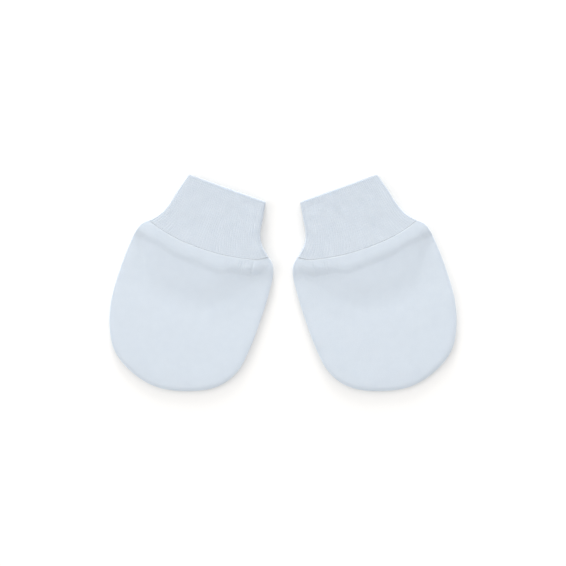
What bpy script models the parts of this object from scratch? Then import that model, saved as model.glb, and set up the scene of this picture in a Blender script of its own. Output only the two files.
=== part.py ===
"""A pair of newborn's no-scratch mittens, laid flat: knitted bodies of two panels on doubled rib cuffs.

Each mitten is modelled once in its own plan, in millimetres: "across" runs towards the other mitten and
"along" runs from the wrist edge to the tip. The right mitten is the mirror image of the left one.
"""

import math
from collections import namedtuple

import bmesh
import bpy
import numpy as np

MM = 0.001

# Cloth and seams, in millimetres
SEAM_GAP = 0.3
PANEL_WALL = 1.4
CUFF_WALL = 1.8
SIDE_SEAM_HEIGHT = 2.0
TOP_ROLL = 2.2
UNDER_ROLL = 2.0
LAYER_GAP = 0.3
PANEL_CEILING = 3.1

# Rib of the cuffs
RIBS_ACROSS = 49
RIB_HEIGHT = 0.25
RIB_FADE = 1.2
WRIST_EDGE_SHARE = 0.3
MOUTH_LIFT = 0.6
MOUTH_LIFT_LENGTH = 14.0

# Where a mitten lies: the middle of its wrist edge, and how far it is turned from straight down
WRIST_FROM_MIDLINE = 30.1
TURN = math.radians(19.68)

# Outline of the mitten, from the wrist edge to the tip, on its outer and its inner side
TIP_ACROSS = -1.0
TIP_ALONG = 114.2
WRIST_ALONG = -0.7
SidePoint = namedtuple("SidePoint", "along out")
OUTER_SIDE = (
    SidePoint(-0.7, 22.7),
    SidePoint(9.0, 25.3),
    SidePoint(18.0, 27.2),
    SidePoint(24.0, 29.7),
    SidePoint(29.0, 33.7),
    SidePoint(33.0, 37.6),
    SidePoint(37.0, 39.4),
    SidePoint(46.0, 40.5),
    SidePoint(61.0, 40.8),
    SidePoint(78.0, 39.6),
    SidePoint(92.0, 35.5),
    SidePoint(103.0, 28.8),
    SidePoint(110.6, 17.0),
)
INNER_SIDE = (
    SidePoint(-0.7, 21.8),
    SidePoint(9.0, 23.5),
    SidePoint(17.0, 25.0),
    SidePoint(22.0, 27.8),
    SidePoint(26.0, 32.1),
    SidePoint(29.5, 36.1),
    SidePoint(34.0, 38.4),
    SidePoint(46.0, 40.2),
    SidePoint(62.0, 40.8),
    SidePoint(78.0, 40.5),
    SidePoint(92.0, 38.2),
    SidePoint(103.0, 30.7),
    SidePoint(110.6, 16.6),
)

# Seam between the cuff and the body
SeamPoint = namedtuple("SeamPoint", "across along")
CUFF_SEAM = (
    SeamPoint(-34.3, 30.2),
    SeamPoint(-28.0, 32.3),
    SeamPoint(-19.0, 34.1),
    SeamPoint(-9.0, 34.9),
    SeamPoint(2.0, 34.9),
    SeamPoint(12.0, 34.0),
    SeamPoint(22.0, 32.1),
    SeamPoint(29.0, 30.0),
    SeamPoint(33.2, 27.2),
)

# Height of the cloth's top face over the surface, by the distance below the cuff seam
Level = namedtuple("Level", "below_seam height")
CUFF_LEVELS = (
    Level(-36.0, 4.1),
    Level(-12.0, 4.2),
    Level(-4.0, 4.7),
    Level(-1.5, 4.8),
    Level(0.0, 4.45),
)
BODY_LEVELS = (
    Level(0.0, 4.45),
    Level(1.2, 5.2),
    Level(3.1, 5.8),
    Level(4.6, 5.6),
    Level(8.0, 4.7),
    Level(12.0, 4.5),
    Level(30.0, 4.6),
    Level(62.0, 4.6),
    Level(79.0, 4.1),
)

# Folds of the body's front: a bent line each, with its half width and its depth, or its rise if negative
Fold = namedtuple("Fold", "name start bend end half_width depth")
FOLDS = (
    Fold("step under the seam's ridge", (-38, 38.5), (-16, 45.5), (13, 44.2), 5.4, 0.5),
    Fold("trough by the inner shoulder", (14.5, 38.6), (26, 42.0), (36.5, 34.5), 5.2, 1.3),
    Fold("dent below the outer shoulder", (-38, 35), (-34, 42), (-26, 50), 5.0, 0.4),
    Fold("ridge down the outer side", (-35, 36), (-36, 50), (-31, 68), 9.0, -0.25),
    Fold("ridge from the inner shoulder", (34, 41), (24, 50), (12, 60), 9.0, -0.3),
)
FOLD_END_SHARE = 0.22

# Slack middle of the front between the shoulders: a triangle that points at the tip
SLACK_OUTER = (-37.0, 40.0)
SLACK_INNER = (30.0, 40.0)
SLACK_POINT = (-2.0, 72.0)
SLACK_FADE = 12.0
SLACK_FADE_OUTSIDE = 0.3
SLACK_START = 38.0
SLACK_LENGTH = 26.0
SLACK_DEPTH = 0.7

# Fineness of the solids: distances from a panel's edge, stations along a cuff, and points round them
BODY_CENTRE = (0.5, 72.0)
BODY_REACH = 39.0
DEEPEST_RING = 28.0
SOFTENED_STRETCH = 10.0
EVEN_RING = 18.0
FRONT_DEPTHS = (0.0, 0.35, 1.0, 2.1, 3.5, 5.3, 7.6, 10.2, 14.0, 20.0, DEEPEST_RING)
INSIDE_DEPTHS = (0.0, 0.8, 6.0, 12.0, 22.0)
UNDER_DEPTHS = (0.0, 0.35, 1.0, 2.0)
UNDER_INSIDE_DEPTHS = (0.0, 0.7)
SEAM_POINTS = 34
SIDE_POINTS = 56
SHOULDER_FINENESS = 9.0
CUFF_STATIONS = (0.0, 0.008, 0.03, 0.25, 0.5, 0.7, 0.86, 0.95, 1.0)
CUFF_INSIDE_STATIONS = (0.0, 0.03, 0.4, 0.75, 1.0)
CUFF_UNDER_POINTS = 20
CUFF_INSIDE_POINTS = 16
CURVE_STEPS = 24
SLOPE_STEP = 0.5
END_CROWDING = 0.6

BODY_COLOUR = (0.69, 0.76, 0.83, 1.0)
CUFF_COLOUR = (0.65, 0.72, 0.79, 1.0)
KNIT_ROUGHNESS = 0.95
SHARP_ANGLE = math.radians(50)

Plan = namedtuple("Plan", "side outer inner seam seam_share")


def smooth_curve(points, steps=CURVE_STEPS):
    """A centripetal Catmull-Rom curve through the points."""
    rows = np.array(points, float)
    rows = np.vstack([2 * rows[0] - rows[1], rows, 2 * rows[-1] - rows[-2]])
    spans = []
    for a, b, c, d in zip(rows[:-3], rows[1:-2], rows[2:-1], rows[3:]):
        knots = np.cumsum([0.0] + [math.sqrt(math.dist(p, q)) for p, q in ((a, b), (b, c), (c, d))])
        at = np.linspace(knots[1], knots[2], steps, endpoint=False)[:, None]

        def between(p, q, start, end):
            return (end - at) / (end - start) * p + (at - start) / (end - start) * q

        ab = between(a, b, knots[0], knots[1])
        bc = between(b, c, knots[1], knots[2])
        cd = between(c, d, knots[2], knots[3])
        abc = between(ab, bc, knots[0], knots[2])
        bcd = between(bc, cd, knots[1], knots[3])
        spans.append(between(abc, bcd, knots[1], knots[2]))
    return np.vstack([*spans, rows[-2][None]])


def ease(value):
    """From 0 to 1 with level ends."""
    value = np.clip(value, 0.0, 1.0)
    return value * value * (3.0 - 2.0 * value)


def roll(value):
    """A quarter round from 0 to 1."""
    return np.sqrt(1.0 - (1.0 - np.clip(value, 0.0, 1.0)) ** 2)


def level_curve(levels, at):
    """Heights read from a table of levels, eased from row to row."""
    start, height = np.array(levels, float).T
    row = np.clip(np.searchsorted(start, at, side="right") - 1, 0, len(start) - 2)
    share = ease((at - start[row]) / (start[row + 1] - start[row]))
    return height[row] + (height[row + 1] - height[row]) * share


def to_line(points, line):
    """Distance from each point to a line, and the share of the line that is nearest."""
    start = line[:-1][None]
    run = line[1:][None] - start
    offset = points[:, None] - start
    share = np.clip((offset * run).sum(2) / (run * run).sum(2), 0.0, 1.0)
    gaps = np.linalg.norm(offset - share[..., None] * run, axis=2)
    span = gaps.argmin(1)
    each = np.arange(len(points))
    return gaps[each, span], (span + share[each, span]) / (len(line) - 1)


def make_plan():
    """The outline, its two sides, the cuff seam and each seam point's share of the half width."""
    outer = [(-row.out, row.along) for row in OUTER_SIDE]
    inner = [(row.out, row.along) for row in INNER_SIDE]
    side = smooth_curve([*outer, (TIP_ACROSS, TIP_ALONG), *reversed(inner)])
    tip = len(OUTER_SIDE) * CURVE_STEPS
    seam = smooth_curve(CUFF_SEAM)
    plan = Plan(side, side[: tip + 1], side[tip:][::-1], seam, None)
    share = seam[:, 0] / half_width(plan, seam[:, 1], seam[:, 0])
    return plan._replace(seam_share=share)


def half_width(plan, along, across):
    """Half width of the mitten on the side that "across" lies on."""
    outer = -np.interp(along, plan.outer[:, 1], plan.outer[:, 0])
    inner = np.interp(along, plan.inner[:, 1], plan.inner[:, 0])
    return np.where(across < 0.0, outer, inner)


def below_seam(plan, points):
    return points[:, 1] - np.interp(points[:, 0], plan.seam[:, 0], plan.seam[:, 1])


def fold_depth(points):
    """How far the folds lower the front, at each point."""
    total = np.zeros(len(points))
    for fold in FOLDS:
        start, bend, end = (np.array(point, float) for point in (fold.start, fold.bend, fold.end))
        at = np.linspace(0.0, 1.0, CURVE_STEPS)[:, None]
        line = start * (1 - at) ** 2 + 2 * bend * at * (1 - at) + end * at**2
        gap, share = to_line(points, line)
        across = np.clip(1.0 - (gap / fold.half_width) ** 2, 0.0, 1.0) ** 2
        total += fold.depth * across * ease(share / FOLD_END_SHARE) * ease((1 - share) / FOLD_END_SHARE)
    return total


def slack_depth(points):
    """How far the slack middle of the front sags."""
    middle = (np.array(SLACK_OUTER) + np.array(SLACK_INNER)) / 2
    inside = ease((points[:, 1] - SLACK_START) / SLACK_LENGTH)
    for corner in (SLACK_OUTER, SLACK_INNER):
        edge = np.array(SLACK_POINT) - np.array(corner)
        normal = np.array([edge[1], -edge[0]]) / np.linalg.norm(edge)
        normal *= np.sign((middle - np.array(corner)) @ normal)
        inside = inside * ease((points - np.array(corner)) @ normal / SLACK_FADE + SLACK_FADE_OUTSIDE)
    return SLACK_DEPTH * inside


def body_top(plan, points):
    """Height of the body's top face, before its edge rolls down."""
    return level_curve(BODY_LEVELS, below_seam(plan, points)) - fold_depth(points) - slack_depth(points)


def cuff_top(plan, points):
    """Height of the cuff's top face, lifted a little at its mouth."""
    share = points[:, 0] / half_width(plan, points[:, 1], points[:, 0])
    lift = MOUTH_LIFT * (1.0 - share**2) * ease(1.0 - points[:, 1] / MOUTH_LIFT_LENGTH)
    return level_curve(CUFF_LEVELS, below_seam(plan, points)) + lift


def upper_height(plan, points, top, inset, base):
    """Height of an upper face that rolls down to its base at the outline, inset from the cloth's outside."""
    edge, _ = to_line(points, plan.side)
    return base + (top - base) * roll((edge - inset) / (TOP_ROLL - inset))


def under_height(plan, points, inset, base):
    """Height of an under face that lies flat and rolls up to its base at the outline."""
    edge, _ = to_line(points, plan.side)
    return base - (base - inset) * roll((edge - inset) / (UNDER_ROLL - inset))


def front_outside(plan, points):
    return upper_height(plan, points, body_top(plan, points), 0.0, SIDE_SEAM_HEIGHT + SEAM_GAP / 2)


def front_inside(plan, points):
    """The seam allowances fill the ridge, so the inside runs on below it."""
    ceiling = np.minimum(body_top(plan, points) - PANEL_WALL, PANEL_CEILING)
    top = np.maximum(ceiling, PANEL_WALL + LAYER_GAP)
    return upper_height(plan, points, top, PANEL_WALL, SIDE_SEAM_HEIGHT + SEAM_GAP / 2)


def back_outside(plan, points):
    return under_height(plan, points, 0.0, SIDE_SEAM_HEIGHT - SEAM_GAP / 2)


def back_inside(plan, points):
    return under_height(plan, points, PANEL_WALL, SIDE_SEAM_HEIGHT - SEAM_GAP / 2)


def cut_below_seam(plan, line):
    """The stretch of a line that lies below the cuff seam, by half a seam gap or more."""
    below = below_seam(plan, line) - SEAM_GAP / 2
    inside = np.flatnonzero(below > 0)
    first, last = inside[0], inside[-1]

    def crossing(out, into):
        share = below[out] / (below[out] - below[into])
        return line[out] + (line[into] - line[out]) * share

    ends = crossing(first - 1, first)[None], crossing(last + 1, last)[None]
    return np.vstack([ends[0], line[first : last + 1], ends[1]])


def moved_in(line, distance):
    """The line moved to its right, which is inwards on the outline."""
    run = np.gradient(line, axis=0)
    normal = np.stack([run[:, 1], -run[:, 0]], 1) / np.linalg.norm(run, axis=1, keepdims=True)
    return line + normal * distance


def spread(line, count, fineness):
    """Points along a line, closer where it turns."""
    run = np.diff(line, axis=0)
    length = np.linalg.norm(run, axis=1)
    heading = np.unwrap(np.arctan2(run[:, 1], run[:, 0]))
    turning = np.abs(np.diff(heading, prepend=heading[0]))
    travel = np.concatenate([[0.0], np.cumsum(length + fineness * turning)])
    at = np.linspace(0.0, travel[-1], count + 1)
    return np.stack([np.interp(at, travel, line[:, axis]) for axis in (0, 1)], 1)


def seam_spread(start, end, count):
    """Places across the seam, closer together at both ends where the cloth rolls."""
    at = np.linspace(-1.0, 1.0, count + 1)
    eased = at + END_CROWDING * (np.sin(at * math.pi / 2) - at)
    return start + (end - start) * (1.0 + eased) / 2


def panel_loop(plan, inset, share_kept):
    """A panel's edge: along the seam from the outer shoulder, then round the tip and back."""
    side = cut_below_seam(plan, moved_in(plan.side, inset))
    across = seam_spread(side[0, 0], side[-1, 0], SEAM_POINTS // share_kept)
    along = np.interp(across, plan.seam[:, 0], plan.seam[:, 1]) + SEAM_GAP / 2
    seam = np.stack([across, along], 1)
    seam[0], seam[-1] = side[0], side[-1]
    round_tip = spread(side[::-1], SIDE_POINTS // share_kept, SHOULDER_FINENESS)
    return np.vstack([seam[:-1], round_tip[:-1]])


def place(bm, points, heights):
    """Vertices in the mitten's own frame, where the plan's "along" runs down."""
    return [bm.verts.new((x * MM, -y * MM, z * MM)) for (x, y), z in zip(points, heights)]


def bridge(bm, first, second):
    for i in range(len(first)):
        after = (i + 1) % len(first)
        bm.faces.new((first[i], first[after], second[after], second[i]))


def close_edge(bm, first, first_share, second, second_share):
    """Triangles between two rings that have different numbers of points."""
    first_ends = [*first_share[1:], 1.0]
    second_ends = [*second_share[1:], 1.0]
    i = j = 0
    while i < len(first) or j < len(second):
        here = second[j % len(second)]
        if j == len(second) or (i < len(first) and first_ends[i] <= second_ends[j]):
            bm.faces.new((first[i], first[(i + 1) % len(first)], here))
            i += 1
        else:
            bm.faces.new((first[i % len(first)], second[(j + 1) % len(second)], here))
            j += 1


def softened(values, loop):
    """Values along a closed loop, averaged over a short stretch of it."""
    step = np.linalg.norm(np.roll(loop, -1, 0) - loop, axis=1)
    travel = np.cumsum(step)
    apart = np.abs(travel[:, None] - travel[None])
    apart = np.minimum(apart, travel[-1] - apart)
    weight = np.exp(-((apart / SOFTENED_STRETCH) ** 2)) * step
    return (weight * values).sum(1) / weight.sum(1)


def dished_face(bm, plan, loop, depths, height):
    """Rings of points from a loop in to the body's centre, each at its height. Returns the first ring."""
    centre = np.array(BODY_CENTRE)
    run = np.roll(loop, -1, 0) - np.roll(loop, 1, 0)
    inward = np.stack([-run[:, 1], run[:, 0]], 1) / np.linalg.norm(run, axis=1, keepdims=True)
    to_centre = centre - loop
    straight = softened(np.abs((to_centre * inward).sum(1)), loop)
    rings = []
    for depth in depths:
        even = ease(depth / EVEN_RING)
        share = depth / straight * (1.0 - even) + depth / BODY_REACH * even
        points = loop + to_centre * share[:, None]
        rings.append(place(bm, points, height(plan, points)))
    for first, second in zip(rings, rings[1:]):
        bridge(bm, first, second)
    (middle,) = place(bm, centre[None], height(plan, centre[None]))
    last = rings[-1]
    for i in range(len(last)):
        bm.faces.new((last[i], last[(i + 1) % len(last)], middle))
    return rings[0]


def panel(plan, outside, inside, outside_depths, inside_depths):
    """A body panel: a wall between an outer and a coarser inner face."""
    bm = bmesh.new()
    outer_ring = dished_face(bm, plan, panel_loop(plan, 0.0, 1), outside_depths, outside)
    inner_ring = dished_face(bm, plan, panel_loop(plan, PANEL_WALL, 2), inside_depths, inside)
    shares = [np.arange(len(ring)) / len(ring) for ring in (outer_ring, inner_ring)]
    close_edge(bm, outer_ring, shares[0], inner_ring, shares[1])
    return bm


def cuff_points(plan, share, station, inset):
    """Places across the cuff at one station, from the wrist edge at 0 to the seam at 1."""
    seam_along = np.interp(share, plan.seam_share, plan.seam[:, 1]) - SEAM_GAP / 2
    along = WRIST_ALONG + (seam_along - WRIST_ALONG) * station
    width = half_width(plan, along, share)
    slope = (half_width(plan, along + SLOPE_STEP, share) - width) / SLOPE_STEP
    return np.stack([share * (width - inset * np.sqrt(1.0 + slope**2)), along], 1)


def cuff_ring(bm, plan, top_share, under_share, station, inset, ribs):
    """One ring round the cuff: over the top from the outer side, then back along the underside."""
    top = cuff_points(plan, top_share, station, inset)
    height = cuff_top(plan, top) - inset
    edge, _ = to_line(top, plan.side)
    raised = RIB_HEIGHT * ribs * ease(edge / RIB_FADE)
    top_heights = upper_height(plan, top, height, inset, SIDE_SEAM_HEIGHT) + raised
    under = cuff_points(plan, under_share, station, inset)
    under_heights = under_height(plan, under, inset, SIDE_SEAM_HEIGHT)
    return [*place(bm, top, top_heights), *place(bm, under, under_heights)]


def wrist_fullness(station, plan):
    """Share of its thickness that the doubled cloth has near the fold at the wrist edge."""
    along = station * plan.seam[:, 1].mean()
    return WRIST_EDGE_SHARE + (1.0 - WRIST_EDGE_SHARE) * roll(along / (CUFF_WALL / 2))


def cuff(plan):
    """A flattened tube of doubled rib, ribbed on top over a plain inside."""
    bm = bmesh.new()
    top_share = np.linspace(-1.0, 1.0, 2 * RIBS_ACROSS + 1)
    ribs = np.arange(len(top_share)) % 2
    under_share = seam_spread(1.0, -1.0, CUFF_UNDER_POINTS)[1:-1]
    outside = []
    for station in CUFF_STATIONS:
        full = wrist_fullness(station, plan)
        inset = CUFF_WALL / 2 * (1.0 - full)
        outside.append(cuff_ring(bm, plan, top_share, under_share, station, inset, ribs * full))
    inner_top = seam_spread(-1.0, 1.0, CUFF_INSIDE_POINTS)
    inner_under = seam_spread(1.0, -1.0, CUFF_INSIDE_POINTS)[1:-1]
    inside = []
    for station in CUFF_INSIDE_STATIONS:
        inset = CUFF_WALL / 2 * (1.0 + wrist_fullness(station, plan))
        inside.append(cuff_ring(bm, plan, inner_top, inner_under, station, inset, 0.0))
    for rings in (outside, inside):
        for first, second in zip(rings, rings[1:]):
            bridge(bm, first, second)

    def shares(top, under):
        return [*(top + 1.0) / 4, *((1.0 - under) / 4 + 0.5)]

    outer_shares = shares(top_share, under_share)
    inner_shares = shares(inner_top, inner_under)
    close_edge(bm, outside[0], outer_shares, inside[0], inner_shares)
    close_edge(bm, outside[-1], outer_shares, inside[-1], inner_shares)
    return bm


def knit(name, colour):
    material = bpy.data.materials.new(name)
    material.use_nodes = True
    shader = material.node_tree.nodes["Principled BSDF"]
    shader.inputs["Base Color"].default_value = colour
    shader.inputs["Roughness"].default_value = KNIT_ROUGHNESS
    shader.inputs["Metallic"].default_value = 0.0
    return material


def add_piece(name, bm, mirrored, colour, parent):
    """A node from its mesh, mirrored for the right mitten, with a material of its own."""
    if mirrored:
        for vert in bm.verts:
            vert.co.x = -vert.co.x
    bmesh.ops.recalc_face_normals(bm, faces=bm.faces)
    mesh = bpy.data.meshes.new(name)
    bm.to_mesh(mesh)
    bm.free()
    mesh.shade_smooth()
    mesh.set_sharp_from_angle(angle=SHARP_ANGLE)
    mesh.materials.append(knit(name + "_knit", colour))
    piece = bpy.data.objects.new(name, mesh)
    bpy.context.scene.collection.objects.link(piece)
    piece.parent = parent


def wrist_height(plan):
    """Place of the wrist edges that puts the middle of the pair's box on the origin."""
    down = -(plan.side[:, 0] * math.sin(TURN) + plan.side[:, 1] * math.cos(TURN))
    return -(down.max() + down.min()) / 2


def mitten(plan, side, mirrored):
    """The three pieces of one mitten, under an empty at the middle of its wrist edge."""
    hand = -1 if mirrored else 1
    empty = bpy.data.objects.new(side + "_mitten", None)
    empty.location = (-hand * WRIST_FROM_MIDLINE * MM, wrist_height(plan) * MM, 0.0)
    empty.rotation_euler.z = -hand * TURN
    bpy.context.scene.collection.objects.link(empty)
    front = panel(plan, front_outside, front_inside, FRONT_DEPTHS, INSIDE_DEPTHS)
    back = panel(plan, back_outside, back_inside, UNDER_DEPTHS, UNDER_INSIDE_DEPTHS)
    add_piece(side + "_front_panel", front, mirrored, BODY_COLOUR, empty)
    add_piece(side + "_back_panel", back, mirrored, BODY_COLOUR, empty)
    add_piece(side + "_cuff", cuff(plan), mirrored, CUFF_COLOUR, empty)


def main():
    for thing in list(bpy.data.objects):
        bpy.data.objects.remove(thing)
    plan = make_plan()
    mitten(plan, "left", mirrored=False)
    mitten(plan, "right", mirrored=True)


main()
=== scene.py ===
"""Looks of a pair of no-scratch mittens for a newborn, laid flat and seen from straight above.

Each mitten is modelled once in its own plan, in millimetres, and mirrored for the other hand: "across" runs
towards the other mitten and "along" runs from the wrist edge to the tip, as in the part's own source.
"""

import math
from collections import namedtuple

import bmesh
import bpy
import numpy as np
from mathutils import Matrix

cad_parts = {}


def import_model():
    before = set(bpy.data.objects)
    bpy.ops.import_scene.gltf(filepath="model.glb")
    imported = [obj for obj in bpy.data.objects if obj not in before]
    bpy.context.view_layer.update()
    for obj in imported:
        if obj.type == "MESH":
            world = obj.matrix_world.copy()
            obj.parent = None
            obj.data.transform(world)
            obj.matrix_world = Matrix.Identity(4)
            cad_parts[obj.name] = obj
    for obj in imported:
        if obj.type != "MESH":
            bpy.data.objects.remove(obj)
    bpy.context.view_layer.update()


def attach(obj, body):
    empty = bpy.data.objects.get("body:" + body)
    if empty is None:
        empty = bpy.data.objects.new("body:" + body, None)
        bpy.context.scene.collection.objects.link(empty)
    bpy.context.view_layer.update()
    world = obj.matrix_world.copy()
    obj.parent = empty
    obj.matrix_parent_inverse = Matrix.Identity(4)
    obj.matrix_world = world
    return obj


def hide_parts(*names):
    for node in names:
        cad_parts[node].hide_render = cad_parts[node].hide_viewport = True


MM = 0.001

# Cloth and seams, in millimetres
PANEL_WALL = 1.2
CUFF_WALL = 1.8
SEAM_GAP = 0.04
SIDE_SEAM_HEIGHT = 1.55
TOP_ROLL = 0.42
UNDER_ROLL = 0.7
CUFF_FOLD_HEIGHT = 2.5
CUFF_ROLL = 0.95
LAYER_GAP = 0.3
PANEL_CEILING = 2.6
EDGE_FALL = 0.022
EDGE_FALL_REACH = 3.4
TIP_FALL = 0.06
TIP_FALL_REACH = 2.2
TIP_START = 82.0
TIP_END = 102.0
SEAM_TUCK = 0.3
SEAM_TUCK_DEPTH = 0.26
INNER_DIP_LOSS = 0.65
INNER_DIP_START = 16.0
INNER_DIP_LENGTH = 16.0
UNDER_TUCK_DEPTH = 0.4
SIDE_TUCK = 0.35
SIDE_TUCK_RISE = 0.3
TUCK_RUN_OUT = 6

# Where a mitten lies: the middle of its wrist edge, and how far it is turned from straight down
WRIST_FROM_MIDLINE = 30.1
TURN = math.radians(19.68)

# Outline of the mitten, from the wrist edge to the tip, on its outer and its inner side
TIP_ACROSS = -1.0
LENGTH = 114.2
SidePoint = namedtuple("SidePoint", "along out")
OUTER_SIDE = (
    SidePoint(-0.5, 22.9),
    SidePoint(9.0, 25.45),
    SidePoint(18.0, 27.4),
    SidePoint(24.0, 29.9),
    SidePoint(29.0, 33.95),
    SidePoint(33.0, 37.9),
    SidePoint(37.0, 39.4),
    SidePoint(46.0, 40.5),
    SidePoint(61.0, 40.8),
    SidePoint(78.0, 39.6),
    SidePoint(92.0, 35.5),
    SidePoint(103.0, 28.8),
    SidePoint(110.6, 17.0),
)
INNER_SIDE = (
    SidePoint(-0.5, 21.9),
    SidePoint(9.0, 23.5),
    SidePoint(17.0, 25.0),
    SidePoint(22.0, 27.8),
    SidePoint(26.0, 32.1),
    SidePoint(29.5, 36.35),
    SidePoint(34.0, 38.6),
    SidePoint(46.0, 40.2),
    SidePoint(62.0, 40.8),
    SidePoint(78.0, 40.5),
    SidePoint(92.0, 38.2),
    SidePoint(103.0, 30.7),
    SidePoint(110.6, 16.6),
)

# Seam between the cuff and the body
SeamPoint = namedtuple("SeamPoint", "across along")
CUFF_SEAM = (
    SeamPoint(-34.3, 30.2),
    SeamPoint(-28.0, 32.3),
    SeamPoint(-19.0, 34.1),
    SeamPoint(-9.0, 34.9),
    SeamPoint(2.0, 34.9),
    SeamPoint(12.0, 34.0),
    SeamPoint(22.0, 32.1),
    SeamPoint(29.0, 30.0),
    SeamPoint(33.2, 27.2),
)

# Height of the cloth's top face over the surface, by the distance below the cuff seam
Level = namedtuple("Level", "below_seam height")
CUFF_LEVELS = (
    Level(-36.0, 5.2),
    Level(-14.0, 5.3),
    Level(0.0, 5.33),
)
BODY_LEVELS = (
    Level(0.0, 3.05),
    Level(30.0, 2.85),
    Level(50.0, 3.1),
    Level(60.0, 3.1),
    Level(68.0, 3.05),
    Level(79.0, 2.7),
)

# How the body comes down from its seam with the cuff: it keeps its height over the turned-in seam allowance,
# drops in a step, and then slopes down to its foot
Descent = namedtuple("Descent", "across crest hold step step_end slope foot")
DESCENT = (
    Descent(-38.0, 1.95, 3.6, 1.40, 10.6, 7.6, 14.0),
    Descent(-35.0, 2.15, 4.0, 1.22, 11.2, 8.2, 15.5),
    Descent(-31.5, 2.32, 3.8, 0.68, 11.4, 7.8, 19.0),
    Descent(-27.5, 2.48, 3.2, 0.36, 8.8, 5.6, 24.0),
    Descent(-23.0, 2.44, 2.8, 0.56, 9.2, 6.2, 29.0),
    Descent(-17.0, 2.38, 2.8, 0.70, 9.9, 7.0, 32.0),
    Descent(-10.0, 2.36, 2.8, 0.72, 9.9, 7.0, 32.5),
    Descent(0.0, 2.38, 2.8, 0.75, 10.0, 7.1, 33.5),
    Descent(6.0, 2.36, 3.2, 0.68, 10.7, 7.8, 32.0),
    Descent(12.5, 2.34, 3.2, 0.62, 11.6, 8.6, 29.0),
    Descent(16.0, 2.34, 0.7, 0.68, 9.2, 5.6, 26.0),
    Descent(20.0, 2.30, 1.8, 1.16, 9.4, 6.5, 23.5),
    Descent(24.0, 2.18, 2.2, 1.46, 9.6, 6.8, 19.0),
    Descent(28.0, 2.07, 2.0, 1.70, 10.2, 7.5, 14.0),
    Descent(32.0, 1.70, 1.2, 1.10, 9.8, 7.4, 12.5),
    Descent(35.0, 1.45, 1.0, 0.88, 9.6, 7.4, 12.0),
    Descent(38.0, 1.30, 0.8, 0.85, 9.8, 7.4, 12.0),
)
STEP_LEAN = 1.6
FOOT_SOFTNESS = 0.12
SEAM_DIP = 0.03
SEAM_DIP_REACH = 1.8

# Half the stretch across over which such a table is softened, and the places that are averaged there
TABLE_SOFTNESS = 5.0
TABLE_PLACES = 11

# Folds: a bent line each, with its reach to either side and its depth, or its rise if negative
Fold = namedtuple("Fold", "name start bend end left right depth")
FRONT_FOLDS = (
    Fold("hollow along the slack's foot", (-30, 52), (-6, 76), (18, 52), 9.0, 12.0, 0.22),
    Fold("slant in the belly", (-30, 80), (-14, 92), (6, 95), 10.0, 10.0, 0.05),
    Fold("slant near the tip", (26, 86), (14, 97), (-2, 102), 9.0, 9.0, 0.04),
)
CUFF_FOLDS = (
    Fold("dent by the inner end of the wrist edge", (9, 3), (16, 4), (23, 5), 3.0, 4.0, 0.12),
    Fold("slight dent above the seam", (-24, 22), (-8, 26), (4, 20), 6.0, 6.0, 0.06),
)
UNDER_FOLDS = (
    Fold("crease below the seam", (-30, 41), (-4, 48), (26, 40), 4.0, 6.0, 0.45),
    Fold("outer slant", (-36, 50), (-24, 58), (-14, 72), 4.0, 6.0, 0.4),
    Fold("inner slant", (36, 46), (26, 58), (9, 66), 5.0, 5.0, 0.35),
    Fold("belly crease", (-18, 88), (0, 84), (20, 92), 6.0, 6.0, 0.3),
)
FOLD_END_SHARE = 0.25

# Slow waves that make a pitch or a size uneven along its line
Wave = namedtuple("Wave", "size turn start")

# Gathers where the body is eased on to the cuff, by the place across
GATHER_PITCH = 1.9
GATHER_SLANT = 0.1
GATHER_START = 3.8
GATHER_SHIFTS = (
    Wave(0.45, 0.53, 0.0),
    Wave(0.3, 1.21, 1.0),
)
GATHER_SIZES = (Wave(0.35, 0.91, 2.0),)
GATHER_MEAN = 0.65
Gather = namedtuple("Gather", "across depth reach")
GATHERS = (
    Gather(-34.0, 0.10, 6.0),
    Gather(-18.0, 0.05, 6.0),
    Gather(0.0, 0.06, 8.0),
    Gather(14.0, 0.16, 12.0),
    Gather(21.0, 0.42, 15.0),
    Gather(29.0, 0.46, 15.0),
    Gather(35.0, 0.22, 12.0),
)

# Puckers along the side seams, placed by the outline's points and the mean span between two of them
PUCKER_PITCH = 2.7
PUCKER_DEPTH = 0.07
PUCKER_START = 0.8
PUCKER_REACH = 4.5
PUCKER_SHIFTS = (
    Wave(0.5, 0.37, 0.0),
    Wave(0.3, 0.83, 2.0),
)
PUCKER_SIZES = (Wave(0.5, 0.29, 0.7),)
PUCKER_MEAN = 0.5
OUTLINE_SPAN = 9.0

# Unevenness of the cloth: waves that run slantwise over it
LUMP_DEPTH = 0.022
CUFF_LUMP_SHARE = 0.6
Lump = namedtuple("Lump", "size across along start")
LUMPS = (
    Lump(1.0, 0.31, 0.13, 0.0),
    Lump(1.0, -0.15, 0.27, 1.3),
    Lump(0.6, 0.57, -0.29, 0.6),
    Lump(0.4, 0.44, 0.53, 2.9),
)

# Rib of the cuffs: each rib wanders a little to both sides of its place
RIBS_ROUND = 98
RIB_HEIGHT = 0.13
RIB_FULLNESS = 2.2
INSIDE_RIB_SHARE = 0.5
POINTS_A_RIB = 8
INSIDE_POINTS_A_RIB = 4
RIB_WANDER = 0.24
WANDER_ROUND = 0.9
WANDER_SLANT = 0.16
WANDER_ALONG = 0.35
WANDER_START = 0.8
WANDER_EASE = 6.0

# Ends of the cuffs: degrees round the wrist edge's fold, and distances from the seam, for the closest rings
WRIST_ALONG = -0.85
WRIST_EDGE_SHARE = 0.12
WRIST_FOLD_ANGLES = (0, 14, 30, 48, 68, 90)
SEAM_END_STATIONS = (2.2, 1.4, 0.9, 0.5, 0.25, 0.1, 0.0)
CUFF_SIDE_FALL = 0.5
CUFF_FALL_LENGTH = 7.0
MOUTH_LIFT = 0.15
MOUTH_LIFT_LENGTH = 14.0

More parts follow.
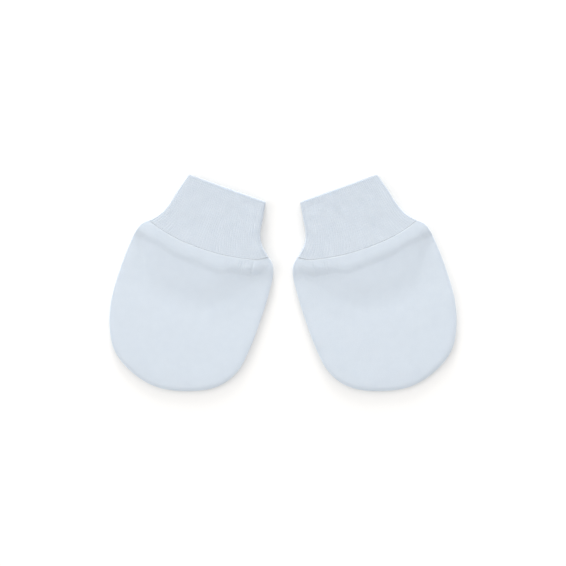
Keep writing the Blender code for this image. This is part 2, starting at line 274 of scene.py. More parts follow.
# Reach of the painted rim shade: the knit's colour is darkened along the edges of the cloth, standing in for
# the shade on its rolled rims
PAINTED_SHADE_REACH = 2.4

# Fineness of the meshes: rings of the panels' outside and inside, and points along their lines
Rings = namedtuple("Rings", "fine_until fine_count deepest count")
BACK_RINGS = (Rings(3.0, 9, 34.0, 34), Rings(3.0, 4, 30.0, 7))
FRONT_RINGS = (Rings(3.0, 14, 36.0, 84), Rings(3.0, 5, 32.0, 14))
RING_CROWDING = 1.6
SECTION_POINTS = 240
OUTSIDE_STATIONS = 56
INSIDE_STATIONS = 20
BODY_CENTRE = (0.5, 72.0)
BODY_REACH = 39.0
EVEN_RING = 18.0
SOFTENED_STRETCH = 10.0
SEAM_POINTS = 200
SIDE_POINTS = 260
INSIDE_COARSENESS = 2
SHOULDER_FINENESS = 9.0
END_CROWDING = 0.6
CURVE_STEPS = 24
SLOPE_STEP = 0.5
POINTS_AT_ONCE = 4000

# Knits: colours of the columns and of the painted shade in the grooves between them, which the blotches and
# the painted rim shade also mix towards, then the pitches of a column and of a course, and the share of its
# pitch that a column fills. The rib counts its columns by its ribs.
Knit = namedtuple("Knit", "colour shade wale course column_share")
KNITS = {
    "body_knit": Knit((0.716, 0.774, 0.836, 1.0), (0.645, 0.703, 0.77, 1.0), 0.75, 0.6, 1.0),
    "rib_knit": Knit((0.70, 0.752, 0.809, 1.0), (0.585, 0.64, 0.705, 1.0), 1.0, 1.2, 0.75),
}
COURSE_WAVE = 0.3
FLUFF_FINENESS = 5.0
BLOTCH_FINENESS = 0.16

# How light the knit's colour is: a mean, more in its blotches, more on its columns than in the grooves
# between them as painted shade, and less along its rims as painted rim shade
MEAN_LIGHT = 0.1
PAINTED_COLUMN_LIGHT = 0.55
BLOTCH_LIGHT = 0.5
PAINTED_RIM_SHADE = 0.6

# Depth of the columns and of the fluff, and how far light spreads in the cloth
COLUMN_DEPTH = 0.09
FLUFF_DEPTH = 0.05
LIGHT_REACH = 1.1

# Camera: the picture's width in pixels, the cloth's millimetres in one, and the lens
PICTURE_PIXELS = 566
PIXEL = 0.54502
LENS = 100.0
SENSOR = 36.0

# Floor, in metres
FLOOR_HALF = 1.2
FLOOR_DROP = 0.00005
FLOOR_COLOUR = (0.94, 0.93, 0.915, 1.0)

# Lamps, in degrees, metres and watts, with the azimuth counted from +X towards +Y
Lamp = namedtuple("Lamp", "name azimuth elevation size power")
LAMPS = (
    Lamp("top_light", 96.0, 11.0, 1.4, 93.0),
    Lamp("side_light", 180.0, 34.0, 2.8, 26.0),
)
LAMP_DISTANCE = 4.0

# Light of the surroundings, and how much more of it comes from the top of the picture
SKY_STRENGTH = 0.95
SKY_LEAN = 0.35

Plan = namedtuple("Plan", "side outer inner seam seam_share")


def smooth_curve(points, steps=CURVE_STEPS):
    """A centripetal Catmull-Rom curve through the points."""
    rows = np.array(points, float)
    rows = np.vstack([2 * rows[0] - rows[1], rows, 2 * rows[-1] - rows[-2]])
    spans = []
    for a, b, c, d in zip(rows[:-3], rows[1:-2], rows[2:-1], rows[3:]):
        knots = np.cumsum([0.0] + [math.sqrt(math.dist(p, q)) for p, q in ((a, b), (b, c), (c, d))])
        at = np.linspace(knots[1], knots[2], steps, endpoint=False)[:, None]

        def between(p, q, start, end):
            return (end - at) / (end - start) * p + (at - start) / (end - start) * q

        ab = between(a, b, knots[0], knots[1])
        bc = between(b, c, knots[1], knots[2])
        cd = between(c, d, knots[2], knots[3])
        abc = between(ab, bc, knots[0], knots[2])
        bcd = between(bc, cd, knots[1], knots[3])
        spans.append(between(abc, bcd, knots[1], knots[2]))
    return np.vstack([*spans, rows[-2][None]])


def ease(value):
    """From 0 to 1 with level ends."""
    value = np.clip(value, 0.0, 1.0)
    return value * value * (3.0 - 2.0 * value)


def roll(value):
    """A quarter round from 0 to 1."""
    return np.sqrt(1.0 - (1.0 - np.clip(value, 0.0, 1.0)) ** 2)


def edge_roll(value):
    """From 0 to 1 over the edge of the cloth: steep at once, then nearly level."""
    return (1.0 - (1.0 - np.clip(value, 0.0, 1.0)) ** 3) ** (1.0 / 3.0)


def edge_fall(edge, along):
    """How far the cloth sinks towards its edge, before it rolls over: more round the tip."""
    tip = TIP_FALL * ease((along - TIP_START) / (TIP_END - TIP_START))
    fall = EDGE_FALL * np.maximum(EDGE_FALL_REACH - edge, 0.0) ** 2
    return fall + tip * np.maximum(TIP_FALL_REACH - edge, 0.0) ** 2


def soft_positive(value):
    """The value where it is positive and 0 where it is negative, with a soft bend between."""
    return (value + np.sqrt(value**2 + FOOT_SOFTNESS**2)) / 2


def level_curve(levels, at):
    """Heights read from a table of levels, eased from row to row."""
    start, height = np.array(levels, float).T
    row = np.clip(np.searchsorted(start, at, side="right") - 1, 0, len(start) - 2)
    share = ease((at - start[row]) / (start[row + 1] - start[row]))
    return height[row] + (height[row + 1] - height[row]) * share


def to_line(points, line):
    """Distance from each point to a line, the share of the line that is nearest, and the signed side."""
    start = line[:-1][None]
    run = line[1:][None] - start
    square = (run * run).sum(2)
    found = []
    for first in range(0, len(points), POINTS_AT_ONCE):
        offset = points[first : first + POINTS_AT_ONCE, None] - start
        share = np.clip((offset * run).sum(2) / square, 0.0, 1.0)
        gap = offset - share[..., None] * run
        length = np.hypot(gap[..., 0], gap[..., 1])
        span = length.argmin(1)
        each = np.arange(len(span))
        near = gap[each, span]
        way = run[0, span]
        side = np.sign(way[:, 0] * near[:, 1] - way[:, 1] * near[:, 0])
        found.append(np.stack([length[each, span], (span + share[each, span]) / (len(line) - 1), side], 1))
    return np.vstack(found).T


def make_plan():
    """The outline, its two sides, the cuff seam and each seam point's share of the half width."""
    outer = [(-row.out, row.along) for row in OUTER_SIDE]
    inner = [(row.out, row.along) for row in INNER_SIDE]
    side = smooth_curve([*outer, (TIP_ACROSS, LENGTH), *reversed(inner)])
    tip = len(OUTER_SIDE) * CURVE_STEPS
    seam = smooth_curve(CUFF_SEAM)
    plan = Plan(side, side[: tip + 1], side[tip:][::-1], seam, None)
    share = seam[:, 0] / half_width(plan, seam[:, 1], seam[:, 0])
    return plan._replace(seam_share=share)


def half_width(plan, along, across):
    """Half width of the mitten on the side that "across" lies on."""
    outer = -np.interp(along, plan.outer[:, 1], plan.outer[:, 0])
    inner = np.interp(along, plan.inner[:, 1], plan.inner[:, 0])
    return np.where(across < 0.0, outer, inner)


def below_seam(plan, points):
    return points[:, 1] - np.interp(points[:, 0], plan.seam[:, 0], plan.seam[:, 1])


def fold_depth(points, folds):
    """How far the folds push the cloth in, at each point."""
    total = np.zeros(len(points))
    for fold in folds:
        start, bend, end = (np.array(point, float) for point in (fold.start, fold.bend, fold.end))
        at = np.linspace(0.0, 1.0, CURVE_STEPS)[:, None]
        line = start * (1 - at) ** 2 + 2 * bend * at * (1 - at) + end * at**2
        near = np.flatnonzero(
            (points > line.min(0) - max(fold.left, fold.right)).all(1)
            & (points < line.max(0) + max(fold.left, fold.right)).all(1)
        )
        if not len(near):
            continue
        gap, share, side = to_line(points[near], line)
        reach = np.where(side < 0, fold.left, fold.right)
        across = np.clip(1.0 - (gap / reach) ** 2, 0.0, 1.0) ** 2
        total[near] += fold.depth * across * ease(share / FOLD_END_SHARE) * ease((1 - share) / FOLD_END_SHARE)
    return total


def table_at(rows, across):
    """The columns after the first of a table, run on between its rows and softened over a short stretch."""
    start, *columns = np.array(rows, float).T
    steps = np.linspace(-1.0, 1.0, TABLE_PLACES)
    weights = 1.0 + np.cos(steps * math.pi)
    weights /= weights.sum()
    places = [across + step * TABLE_SOFTNESS for step in steps]
    return [sum(w * np.interp(at, start, column) for at, w in zip(places, weights)) for column in columns]


def descent_rise(plan, points):
    """Height that the body still has over its own level, below the cuff seam."""
    below = below_seam(plan, points)
    crest, hold, step, step_end, slope, foot = table_at(DESCENT, points[:, 0])
    stepped = step * ease(np.clip((below - hold) / (step_end - hold), 0.0, 1.0) ** STEP_LEAN)
    left = np.minimum((foot - below) / (foot - slope), 1.0)
    sloped = (crest - step) * (1.0 - soft_positive(left) / soft_positive(1.0))
    dip = SEAM_DIP * (1.0 - ease(below / SEAM_DIP_REACH))
    return crest - stepped - sloped - dip


def sum_of(waves, at):
    return sum(wave.size * np.sin(at * wave.turn + wave.start) for wave in waves)


def dent(phase):
    """From 0 between two dents to 1 in the middle of one."""
    return 0.5 - 0.5 * np.cos(2 * math.pi * phase)


def gather_depth(plan, points):
    """Small uneven gathers that run down from the cuff seam."""
    below = below_seam(plan, points)
    depth, reach = table_at(GATHERS, points[:, 0])
    at = points[:, 0] - GATHER_SLANT * below
    depth = depth * dent(at / GATHER_PITCH + sum_of(GATHER_SHIFTS, at))
    size = GATHER_MEAN + sum_of(GATHER_SIZES, at)
    return depth * size * ease(below / GATHER_START) * (1.0 - ease(below / (reach * size)))


def pucker_depth(edge, side_share, plan):
    """Short puckers that run in from the side seams."""
    at = side_share * (len(plan.side) - 1) / CURVE_STEPS * OUTLINE_SPAN
    depth = PUCKER_DEPTH * dent(at / PUCKER_PITCH + sum_of(PUCKER_SHIFTS, at))
    size = PUCKER_MEAN + sum_of(PUCKER_SIZES, at)
    return depth * size * ease(edge / PUCKER_START) * (1.0 - ease(edge / PUCKER_REACH))


def lump_rise(points):
    """The slight unevenness of cloth that nobody has pressed."""
    x, y = points.T
    return LUMP_DEPTH * sum(row.size * np.sin(x * row.across + y * row.along + row.start) for row in LUMPS)


def seam_tuck(plan, points):
    """From 0 at the cuff seam to 1 where the cloth is at its full height."""
    return roll((np.abs(below_seam(plan, points)) - SEAM_GAP / 2) / SEAM_TUCK)


def seam_dip(plan, points):
    """How far the cloth dips into the cuff seam, less so towards the inner shoulder."""
    shallower = INNER_DIP_LOSS * ease((points[:, 0] - INNER_DIP_START) / INNER_DIP_LENGTH)
    return SEAM_TUCK_DEPTH * (1.0 - shallower) * (1.0 - seam_tuck(plan, points))


def body_top(plan, points):
    """Height of the body's top face, before its edges roll down."""
    height = level_curve(BODY_LEVELS, below_seam(plan, points)) + descent_rise(plan, points)
    height -= fold_depth(points, FRONT_FOLDS) + gather_depth(plan, points)
    return height + lump_rise(points) - seam_dip(plan, points)


def cuff_top(plan, points):
    """Height of the cuff's top face, lifted a little at its mouth and lower at the seam's inner end."""
    share = points[:, 0] / half_width(plan, points[:, 1], points[:, 0])
    lift = MOUTH_LIFT * (1.0 - share**2) * ease(1.0 - points[:, 1] / MOUTH_LIFT_LENGTH)
    height = level_curve(CUFF_LEVELS, below_seam(plan, points)) + lift + lump_rise(points) * CUFF_LUMP_SHARE
    near_seam = ease(1.0 + below_seam(plan, points) / CUFF_FALL_LENGTH)
    height -= fold_depth(points, CUFF_FOLDS) + CUFF_SIDE_FALL * np.maximum(share, 0.0) ** 3 * near_seam
    return height - seam_dip(plan, points)


def under_lift(plan, points):
    """How far the underside is off the surface, in its folds and at the cuff seam."""
    lift = np.maximum(fold_depth(points, UNDER_FOLDS), 0.0)
    return lift + UNDER_TUCK_DEPTH * (1.0 - seam_tuck(plan, points))


def upper_height(plan, points, top, inset, base):
    """Height of an upper face that rolls down to its base at the outline, inset from the cloth's outside."""
    edge, share, _ = to_line(points, plan.side)
    top = top - edge_fall(edge, points[:, 1])
    shaped = base + (top - base) * edge_roll((edge - inset) / TOP_ROLL)
    if inset:
        return shaped
    return shaped - pucker_depth(edge, share, plan)


def under_height(plan, points, lift, inset, base, reach=UNDER_ROLL):
    """Height of an under face that lies flat and rolls up to its base at the outline."""
    edge = to_line(points, plan.side)[0]
    return base - (base - inset - lift) * edge_roll((edge - inset) / reach)


def front_outside(plan, points):
    return upper_height(plan, points, body_top(plan, points), 0.0, SIDE_SEAM_HEIGHT + SIDE_TUCK_RISE)


def front_inside(plan, points):
    """The seam allowances fill the ridge, so the inside runs on below it."""
    ceiling = np.minimum(body_top(plan, points) - PANEL_WALL, PANEL_CEILING)
    top = np.maximum(ceiling, PANEL_WALL + LAYER_GAP)
    return upper_height(plan, points, top, PANEL_WALL, SIDE_SEAM_HEIGHT + SEAM_GAP / 2)


def back_outside(plan, points):
    return under_height(plan, points, under_lift(plan, points), 0.0, SIDE_SEAM_HEIGHT - SIDE_TUCK_RISE)


def back_inside(plan, points):
    return under_height(plan, points, 0.0, PANEL_WALL, SIDE_SEAM_HEIGHT - SEAM_GAP / 2)


def cut_below_seam(plan, line):
    """The stretch of a line that lies below the cuff seam, by half a seam gap or more."""
    below = below_seam(plan, line) - SEAM_GAP / 2
    inside = np.flatnonzero(below > 0)
    first, last = inside[0], inside[-1]

    def crossing(out, into):
        share = below[out] / (below[out] - below[into])
        return line[out] + (line[into] - line[out]) * share

    return np.vstack([crossing(first - 1, first), line[first : last + 1], crossing(last + 1, last)])


def moved_in(line, distance):
    """The line moved to its right, which is inwards on the outline."""
    run = np.gradient(line, axis=0)
    normal = np.stack([run[:, 1], -run[:, 0]], 1) / np.linalg.norm(run, axis=1, keepdims=True)
    return line + normal * distance


def spread(line, count, fineness):
    """Points along a line, closer where it turns."""
    run = np.diff(line, axis=0)
    length = np.linalg.norm(run, axis=1)
    heading = np.unwrap(np.arctan2(run[:, 1], run[:, 0]))
    turning = np.abs(np.diff(heading, prepend=heading[0]))
    travel = np.concatenate([[0.0], np.cumsum(length + fineness * turning)])
    at = np.linspace(0.0, travel[-1], count + 1)
    return np.stack([np.interp(at, travel, line[:, axis]) for axis in (0, 1)], 1)


def seam_spread(start, end, count):
    """Places across the seam, closer together at both ends where the cloth rolls."""
    at = np.linspace(-1.0, 1.0, count + 1)
    eased = at + END_CROWDING * (np.sin(at * math.pi / 2) - at)
    return start + (end - start) * (1.0 + eased) / 2


def panel_loop(plan, inset, coarseness=1):
    """A panel's edge: along the seam from the outer shoulder, then round the tip and back."""
    side = cut_below_seam(plan, moved_in(plan.side, inset))
    across = seam_spread(side[0, 0], side[-1, 0], SEAM_POINTS // coarseness)
    along = np.interp(across, plan.seam[:, 0], plan.seam[:, 1]) + SEAM_GAP / 2
    seam = np.stack([across, along], 1)
    seam[0], seam[-1] = side[0], side[-1]
    round_tip = spread(side[::-1], SIDE_POINTS // coarseness, SHOULDER_FINENESS)
    return np.vstack([seam[:-1], round_tip[:-1]])


def softened(values, loop):
    """Values along a closed loop, averaged over a short stretch of it."""
    step = np.linalg.norm(np.roll(loop, -1, 0) - loop, axis=1)
    travel = np.cumsum(step)
    apart = np.abs(travel[:, None] - travel[None])
    apart = np.minimum(apart, travel[-1] - apart)
    weight = np.exp(-((apart / SOFTENED_STRETCH) ** 2)) * step
    return (weight * values).sum(1) / weight.sum(1)


def start_mesh():
    bm = bmesh.new()
    bm.verts.layers.float_vector.new("knit")
    return bm


def place(bm, points, heights, knit):
    """Vertices in the mitten's own frame, each with its wale, its course and how near the rim it is, which
    sets the painted rim shade.
    """
    layer = bm.verts.layers.float_vector["knit"]
    made = []
    for (x, y), z, knit_place in zip(points, heights, knit):
        vert = bm.verts.new((x * MM, -y * MM, z * MM))
        vert[layer] = knit_place
        made.append(vert)
    return made


def bridge(bm, first, second):
    for i in range(len(first)):
        after = (i + 1) % len(first)
        bm.faces.new((first[i], first[after], second[after], second[i]))


def close_edge(bm, first, first_share, second, second_share):
    """Triangles between two rings that have different numbers of points."""
    first_ends = [*first_share[1:], 1.0]
    second_ends = [*second_share[1:], 1.0]
    i = j = 0
    while i < len(first) or j < len(second):
        here = second[j % len(second)]
        if j == len(second) or (i < len(first) and first_ends[i] <= second_ends[j]):
            bm.faces.new((first[i], first[(i + 1) % len(first)], here))
            i += 1
        else:
            bm.faces.new((first[i % len(first)], second[(j + 1) % len(second)], here))
            j += 1


def painted_rim_shade_share(edge):
    """From 1 at the edge of the cloth to 0 in from it: the share of painted shade along the rims."""
    return 1.0 - ease(edge / PAINTED_SHADE_REACH)


def knit_places(plan, points):
    """Places in the knitting: the plan's own, paid out round the rolled edge, and the nearness of the rim for
    the painted rim shade.
    """
    from_side = to_line(points, plan.side)[0]
    angle = np.arcsin(1.0 - np.minimum(from_side, TOP_ROLL) / TOP_ROLL)
    extra = TOP_ROLL * (angle - np.sin(angle))
    away = points - np.array(BODY_CENTRE)
    away /= np.maximum(np.linalg.norm(away, axis=1, keepdims=True), 1e-6)
    return np.column_stack([points + away * extra[:, None], painted_rim_shade_share(from_side)])


def dished_face(bm, plan, loop, depths, height, tuck=None):
    """Rings of points from a loop in to the body's centre, each at its height. Returns the first ring."""
    centre = np.array(BODY_CENTRE)
    run = np.roll(loop, -1, 0) - np.roll(loop, 1, 0)
    inward = np.stack([-run[:, 1], run[:, 0]], 1) / np.linalg.norm(run, axis=1, keepdims=True)
    to_centre = centre - loop
    straight = softened(np.abs((to_centre * inward).sum(1)), loop)
    rings = []
    if tuck is not None:
        tucked, base = tuck
        rings.append(place(bm, tucked, base, knit_places(plan, loop)))
    for depth in depths:
        even = ease(depth / EVEN_RING)
        share = depth / straight * (1.0 - even) + depth / BODY_REACH * even
        points = loop + to_centre * share[:, None]
        rings.append(place(bm, points, height(plan, points), knit_places(plan, points)))
    for first, second in zip(rings, rings[1:]):
        bridge(bm, first, second)
    (middle,) = place(bm, centre[None], height(plan, centre[None]), [(*centre, 0.0)])
    last = rings[-1]
    for i in range(len(last)):
        bm.faces.new((last[i], last[(i + 1) % len(last)], middle))
    return rings[0]


def ring_depths(rings):
    """Distances from the edge: close together over its roll, then wider."""
    fine = rings.fine_until * np.linspace(0.0, 1.0, rings.fine_count, endpoint=False) ** RING_CROWDING
    return [*fine, *np.linspace(rings.fine_until, rings.deepest, rings.count)]


def panel(plan, outside, inside, rings, seam_height):
    """A body panel: a shell between its outer face, tucked in at the side seams, and its inner face."""
    bm = start_mesh()
    loop = panel_loop(plan, 0.0)
    on_side = np.arange(len(loop)) >= SEAM_POINTS
    on_side[0] = True
    inset = panel_loop(plan, SIDE_TUCK)
    tucked = np.where(on_side[:, None], inset, loop)
    edge = outside(plan, loop)
    base = np.where(on_side, seam_height, edge)
    # Beside the shoulders the tuck runs out over a few points of the seam
    for corner, step in ((0, 1), (SEAM_POINTS, -1)):
        for k in range(1, TUCK_RUN_OUT):
            share = ease(k / TUCK_RUN_OUT)
            i = (corner + step * k) % len(loop)
            tucked[i] = loop[i]
            base[i] = seam_height + (edge[i] - seam_height) * share
    outside_depths, inside_depths = (ring_depths(row) for row in rings)
    inner_loop = panel_loop(plan, PANEL_WALL, INSIDE_COARSENESS)
    outer_ring = dished_face(bm, plan, loop, outside_depths, outside, (tucked, base))
    inner_ring = dished_face(bm, plan, inner_loop, inside_depths, inside)
    shares = [np.arange(len(ring)) / len(ring) for ring in (outer_ring, inner_ring)]
    close_edge(bm, outer_ring, shares[0], inner_ring, shares[1])
    return bm


def cuff_points(plan, share, station, inset):
    """Places across the cuff at one station, from the wrist edge at 0 to the seam at 1."""
    seam_along = np.interp(share, plan.seam_share, plan.seam[:, 1]) - SEAM_GAP / 2
    along = WRIST_ALONG + (seam_along - WRIST_ALONG) * station
    width = half_width(plan, along, share)
    slope = (half_width(plan, along + SLOPE_STEP, share) - width) / SLOPE_STEP
    return np.stack([share * (width - inset * np.sqrt(1.0 + slope**2)), along], 1)


def cuff_section(plan, station, inset):
    """A closed line round the cuff: over the top from the outer side, then back along the underside."""
    share = seam_spread(-1.0, 1.0, SECTION_POINTS)
    top = cuff_points(plan, share, station, inset)
    top_height = cuff_top(plan, top) - inset
    edge = to_line(top, plan.side)[0]
    top_height = top_height - edge_fall(edge, top[:, 1])
    shaped = CUFF_FOLD_HEIGHT + (top_height - CUFF_FOLD_HEIGHT) * edge_roll((edge - inset) / CUFF_ROLL)
    under = top[::-1][1:]
    lift = UNDER_TUCK_DEPTH * (1.0 - seam_tuck(plan, under)) if inset < CUFF_WALL / 2 else 0.0
    under_shaped = under_height(plan, under, lift, inset, CUFF_FOLD_HEIGHT, CUFF_ROLL)
    return np.vstack([np.column_stack([top, shaped]), np.column_stack([under, under_shaped])])


def around(line, count):
    """Points at even steps round a closed line, with the way out of it at each."""
    travel = np.concatenate([[0.0], np.cumsum(np.linalg.norm(np.diff(line, axis=0), axis=1))])
    at = np.arange(count) / count * travel[-1]
    points = np.stack([np.interp(at, travel, line[:, axis]) for axis in range(3)], 1)
    run = np.roll(points, -1, 0) - np.roll(points, 1, 0)
    out = np.stack([-run[:, 2], np.zeros(len(run)), run[:, 0]], 1)
    return points, out / np.linalg.norm(out, axis=1, keepdims=True)


def rib_profile(phase):
    """Height of a rib across its pitch: a round column between narrower grooves."""
    return 1.0 - dent(phase) ** RIB_FULLNESS


def rib_wander(rib, along):
    """How far each rib strays from its place round the cuff, in ribs."""
    stray = np.sin(rib * WANDER_ROUND + along * WANDER_SLANT) * math.sin(along * WANDER_ALONG + WANDER_START)
    return RIB_WANDER * stray * ease(along / WANDER_EASE)


def cuff_face(bm, plan, stations, points_a_rib, outer):
    """The ribbed outer or inner face of the cuff. Returns its rings."""
    count = RIBS_ROUND * points_a_rib
    rib = np.arange(count) / points_a_rib
    rings = []
    for station in stations:
        along = station * plan.seam[:, 1].mean()
        full = WRIST_EDGE_SHARE + (1.0 - WRIST_EDGE_SHARE) * roll(along / (CUFF_WALL / 2))
        inset = CUFF_WALL / 2 * (1.0 - full if outer else 1.0 + full)
        points, out = around(cuff_section(plan, station, inset), count)
        column = rib + rib_wander(rib, along)
        depth = RIB_HEIGHT * (1.0 - rib_profile(column))
        points = points - out * (depth if outer else -INSIDE_RIB_SHARE * depth)[:, None]
        points[:, 2] = np.maximum(points[:, 2], 0.0)
        edge = np.minimum(to_line(points[:, :2], plan.side)[0], along)
        # The third value sets the painted shade along the cuff's sides and its wrist edge
        knit = np.column_stack([column, np.full(count, along), painted_rim_shade_share(edge)])
        rings.append(place(bm, points[:, :2], points[:, 2], knit))
    for first, second in zip(rings, rings[1:]):
        bridge(bm, first, second)
    return rings


def cuff(plan):
    """A flattened tube of doubled rib, with its wrist edge folded and its seam end turned in."""
    bm = start_mesh()
    length = plan.seam[:, 1].mean()
    fold = CUFF_WALL / 2 * (1.0 - np.cos(np.radians(WRIST_FOLD_ANGLES))) / length
    seam_end = 1.0 - np.array(SEAM_END_STATIONS) / length
    stations = [*fold, *np.linspace(fold[-1], seam_end[0], OUTSIDE_STATIONS)[1:-1], *seam_end]
    outside = cuff_face(bm, plan, stations, POINTS_A_RIB, True)
    inner_stations = [*fold[:-1], *np.linspace(fold[-1], 1.0, INSIDE_STATIONS)]
    inside = cuff_face(bm, plan, inner_stations, INSIDE_POINTS_A_RIB, False)
    shares = [np.arange(len(rings[0])) / len(rings[0]) for rings in (outside, inside)]
    for end in (0, -1):
        close_edge(bm, outside[end], shares[0], inside[end], shares[1])
    return bm


def wrist_height(plan):
    """Place of the wrist edges that puts the middle of the pair's box on the origin."""
    down = -(plan.side[:, 0] * math.sin(TURN) + plan.side[:, 1] * math.cos(TURN))
    return -(down.max() + down.min()) / 2


def add_piece(name, bm, mirrored, plan, material):
    """A piece from its mesh, laid where its mitten lies."""
    hand = -1 if mirrored else 1
    if mirrored:
        for vert in bm.verts:
            vert.co.x = -vert.co.x
    wrist = Matrix.Translation((-hand * WRIST_FROM_MIDLINE * MM, wrist_height(plan) * MM, 0.0))
    bmesh.ops.transform(bm, matrix=wrist @ Matrix.Rotation(-hand * TURN, 4, "Z"), verts=bm.verts)
    bmesh.ops.recalc_face_normals(bm, faces=bm.faces)
    mesh = bpy.data.meshes.new(name)
    bm.to_mesh(mesh)
    mesh.shade_smooth()
    mesh.materials.append(material)
    piece = bpy.data.objects.new(name, mesh)
    bpy.context.scene.collection.objects.link(piece)
    return piece


class Nodes:
    """Adds nodes to a material and links them."""

    def __init__(self, material):
        material.use_nodes = True
        self.tree = material.node_tree
        self.shader = self.tree.nodes["Principled BSDF"]

    def socket(self, target, value):
        if isinstance(value, bpy.types.NodeSocket):
            self.tree.links.new(value, target)
        else:
            target.default_value = value

    def math(self, operation, *values):
        node = self.tree.nodes.new("ShaderNodeMath")
        node.operation = operation
        for target, value in zip(node.inputs, values):
            self.socket(target, value)
        return node.outputs[0]

    def noise(self, vector, scale, detail):
        node = self.tree.nodes.new("ShaderNodeTexNoise")
        self.socket(node.inputs["Vector"], vector)
        node.inputs["Scale"].default_value = scale
        node.inputs["Detail"].default_value = detail
        return node.outputs["Fac"]

    def bump(self, height, distance, normal=None):
        node = self.tree.nodes.new("ShaderNodeBump")
        node.inputs["Distance"].default_value = distance
        self.socket(node.inputs["Height"], height)
        if normal is not None:
            self.socket(node.inputs["Normal"], normal)
        return node.outputs["Normal"]

    def mix(self, share, first, second):
        node = self.tree.nodes.new("ShaderNodeMix")
        node.data_type = "RGBA"
        self.socket(node.inputs[0], share)
        self.socket(node.inputs[6], first)
        self.socket(node.inputs[7], second)
        return node.outputs[2]


def knit_material(name, knit):
    """Cotton knit: columns of slanted loops from the piece's knit places, with fluff, a soft sheen, and
    painted shade in the grooves and along the rims.
    """
    material = bpy.data.materials.new(name)
    nodes = Nodes(material)
    place_node = nodes.tree.nodes.new("ShaderNodeAttribute")
    place_node.attribute_name = "knit"
    split = nodes.tree.nodes.new("ShaderNodeSeparateXYZ")
    nodes.tree.links.new(place_node.outputs["Vector"], split.inputs[0])
    column = nodes.math("DIVIDE", split.outputs[0], knit.wale)
    from_middle = nodes.math("ABSOLUTE", nodes.math("SUBTRACT", nodes.math("FRACT", column), 0.5))
    leg = nodes.math("MINIMUM", nodes.math("DIVIDE", from_middle, knit.column_share / 2), 1.0)
    row = nodes.math("DIVIDE", split.outputs[1], knit.course)
    row = nodes.math("ADD", row, nodes.math("MULTIPLY", leg, 0.5))
    loop_wave = nodes.math("SINE", nodes.math("MULTIPLY", row, 2 * math.pi))
    leg_round = nodes.math("SINE", nodes.math("MULTIPLY", leg, math.pi))
    loop_wave = nodes.math("MULTIPLY_ADD", loop_wave, COURSE_WAVE, 1.0 - COURSE_WAVE)
    loop = nodes.math("MULTIPLY", leg_round, loop_wave)
    fluff = nodes.noise(place_node.outputs["Vector"], FLUFF_FINENESS / knit.wale, 3.0)
    blotch = nodes.noise(place_node.outputs["Vector"], BLOTCH_FINENESS / knit.wale, 2.0)
    light = nodes.math("MULTIPLY_ADD", blotch, BLOTCH_LIGHT, MEAN_LIGHT)
    # Painted shade: the colour is darker in the grooves between the columns than on them
    light = nodes.math("MULTIPLY_ADD", loop, PAINTED_COLUMN_LIGHT, light)
    # Painted shade: the colour darkens towards the rims of the cloth
    light = nodes.math("MULTIPLY_ADD", split.outputs[2], -PAINTED_RIM_SHADE, light)
    nodes.socket(nodes.shader.inputs["Base Color"], nodes.mix(light, knit.shade, knit.colour))
    knitted = nodes.bump(loop, COLUMN_DEPTH * MM)
    nodes.socket(nodes.shader.inputs["Normal"], nodes.bump(fluff, FLUFF_DEPTH * MM, knitted))
    nodes.shader.inputs["Roughness"].default_value = 0.92
    nodes.shader.inputs["Specular IOR Level"].default_value = 0.2
    nodes.shader.inputs["Subsurface Weight"].default_value = 0.7
    nodes.shader.inputs["Subsurface Radius"].default_value = (1.0, 1.0, 1.0)
    nodes.shader.inputs["Subsurface Scale"].default_value = LIGHT_REACH * MM
    nodes.shader.inputs["Sheen Weight"].default_value = 0.2
    nodes.shader.inputs["Sheen Roughness"].default_value = 0.5
    return material


def add_floor():
    mesh = bpy.data.meshes.new("floor")
    corners = [(x * FLOOR_HALF, y * FLOOR_HALF, 0.0) for x, y in ((-1, -1), (1, -1), (1, 1), (-1, 1))]
    mesh.from_pydata(corners, [], [(0, 1, 2, 3)])
    material = bpy.data.materials.new("floor_white")
    shader = Nodes(material).shader
    shader.inputs["Base Color"].default_value = FLOOR_COLOUR
    shader.inputs["Roughness"].default_value = 1.0
    shader.inputs["Specular IOR Level"].default_value = 0.0
    mesh.materials.append(material)
    floor = bpy.data.objects.new("floor", mesh)
    floor.location.z = -FLOOR_DROP
    bpy.context.scene.collection.objects.link(floor)


def add_lamp(lamp):
    """A round soft lamp that faces the mittens."""
    light = bpy.data.lights.new(lamp.name, "AREA")
    light.shape = "DISK"
    light.size = lamp.size
    light.energy = lamp.power
    holder = bpy.data.objects.new(lamp.name, light)
    turn, rise = math.radians(lamp.azimuth), math.radians(lamp.elevation)
    holder.location = (
        LAMP_DISTANCE * math.cos(rise) * math.cos(turn),
        LAMP_DISTANCE * math.cos(rise) * math.sin(turn),
        LAMP_DISTANCE * math.sin(rise),
    )
    holder.rotation_euler = (math.pi / 2 - rise, 0.0, turn + math.pi / 2)
    bpy.context.scene.collection.objects.link(holder)


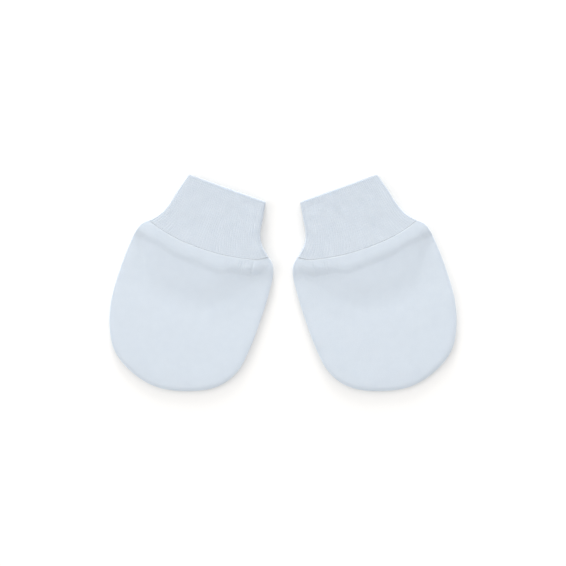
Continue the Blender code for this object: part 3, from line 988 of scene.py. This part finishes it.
def add_sky():
    """White surroundings that are brighter towards the top of the picture."""
    world = bpy.data.worlds.new("studio")
    world.use_nodes = True
    tree = world.node_tree
    direction = tree.nodes.new("ShaderNodeTexCoord")
    split = tree.nodes.new("ShaderNodeSeparateXYZ")
    strength = tree.nodes.new("ShaderNodeMath")
    strength.operation = "MULTIPLY_ADD"
    strength.inputs[1].default_value = SKY_STRENGTH * SKY_LEAN
    strength.inputs[2].default_value = SKY_STRENGTH
    tree.links.new(direction.outputs["Generated"], split.inputs[0])
    tree.links.new(split.outputs[1], strength.inputs[0])
    background = tree.nodes["Background"]
    background.inputs["Color"].default_value = (1.0, 1.0, 1.0, 1.0)
    tree.links.new(strength.outputs[0], background.inputs["Strength"])
    bpy.context.scene.world = world


def set_stage():
    """Pale floor, soft light from the top of the picture, and a camera that looks straight down."""
    add_floor()
    add_sky()
    for lamp in LAMPS:
        add_lamp(lamp)
    camera = bpy.data.cameras.new("camera")
    camera.lens = LENS
    camera.sensor_width = SENSOR
    away = PICTURE_PIXELS * PIXEL * LENS / SENSOR
    camera_object = bpy.data.objects.new("camera", camera)
    camera_object.location = (0.0, 0.0, (away + SIDE_SEAM_HEIGHT) * MM)
    bpy.context.scene.collection.objects.link(camera_object)
    bpy.context.scene.camera = camera_object
    bpy.context.scene.view_settings.view_transform = "Standard"


def add_mitten(plan, side, meshes, materials):
    """The three pieces of one mitten, each in place of its node."""
    mirrored = side == "right"
    for part, bm in meshes.items():
        slot = "rib_knit" if part == "cuff" else "body_knit"
        piece = add_piece(side + "_" + part + "_knit", bm.copy(), mirrored, plan, materials[slot])
        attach(piece, "root")
        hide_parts(side + "_" + part)


def main():
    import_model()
    set_stage()
    plan = make_plan()
    materials = {name: knit_material(name, knit) for name, knit in KNITS.items()}
    back_seam = SIDE_SEAM_HEIGHT - SEAM_GAP / 2
    front_seam = SIDE_SEAM_HEIGHT + SEAM_GAP / 2
    meshes = {
        "back_panel": panel(plan, back_outside, back_inside, BACK_RINGS, back_seam),
        "front_panel": panel(plan, front_outside, front_inside, FRONT_RINGS, front_seam),
        "cuff": cuff(plan),
    }
    for side in ("left", "right"):
        add_mitten(plan, side, meshes, materials)


main()
